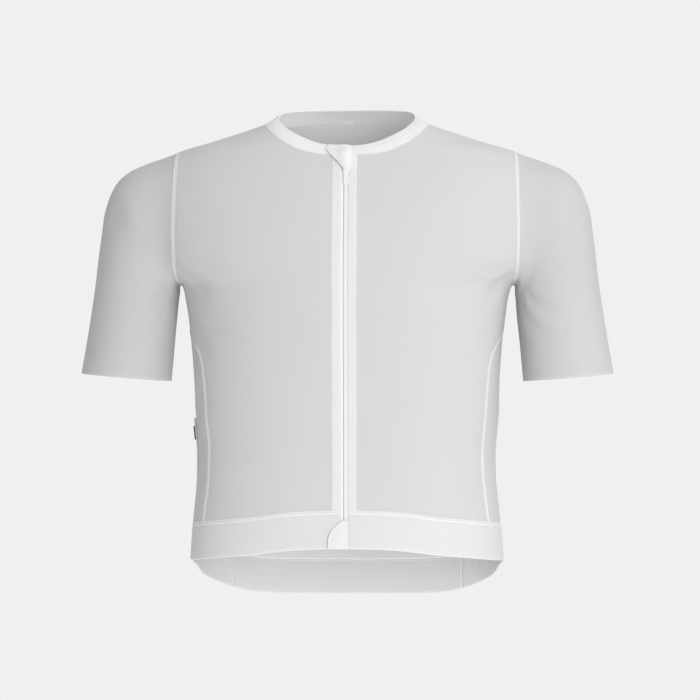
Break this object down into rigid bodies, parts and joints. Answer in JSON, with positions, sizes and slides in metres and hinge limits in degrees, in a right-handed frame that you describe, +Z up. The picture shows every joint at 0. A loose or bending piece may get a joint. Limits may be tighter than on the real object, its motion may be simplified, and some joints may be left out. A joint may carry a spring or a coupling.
{
  "type": "short-sleeved cycling jersey",
  "caption": "Short-sleeved cycling jersey, filled out and hollow, with a full-length front zip, a low collar, a dropped tail, rear pockets and a zipped side pocket.",
  "frame": {"origin": "midway between the shoulders, at the height where the shoulder seams rest on the wearer", "axes": "+Z up, the front faces -Y, +X is the wearer's left"},
  "size_m": [0.558, 0.2314, 0.5209],
  "materials": {
    "knit": "fine matt knit, slightly sheer",
    "sleeve_knit": "fine matt knit, slightly sheer",
    "band": "double layer elastic knit",
    "collar_cloth": "double layer knit",
    "zip_tape": "woven tape",
    "metal": "dark lacquered zip metal"
  },
  "bodies": {
    "jersey": {"back": "knit", "collar": "collar_cloth", "front_left": "knit", "front_right": "knit", "hem_back": "band", "hem_left": "band", "hem_right": "band", "hem_tab": "band", "pocket_centre": "knit", "pocket_left": "knit", "pocket_right": "knit", "pocket_zip": "zip_tape", "pocket_zip_slider": "metal", "side_left": "knit", "side_right": "knit", "sleeve_left": "sleeve_knit", "sleeve_right": "sleeve_knit", "zip_garage": "collar_cloth", "zip_pull": "metal", "zip_slider": "metal", "zip_tape_left": "zip_tape", "zip_tape_right": "zip_tape"},
    "pocket_pull": {"pocket_zip_pull": "metal"}
  },
  "joints": [
    {"name": "pocket_pull_hinge", "type": "hinge", "parent": "jersey", "child": "pocket_pull", "pos_m": [-0.16201, 0.02159, -0.30261], "axis": [0.2442, 0.9697, -0.0112], "range_deg": [0, 150]}
  ]
}
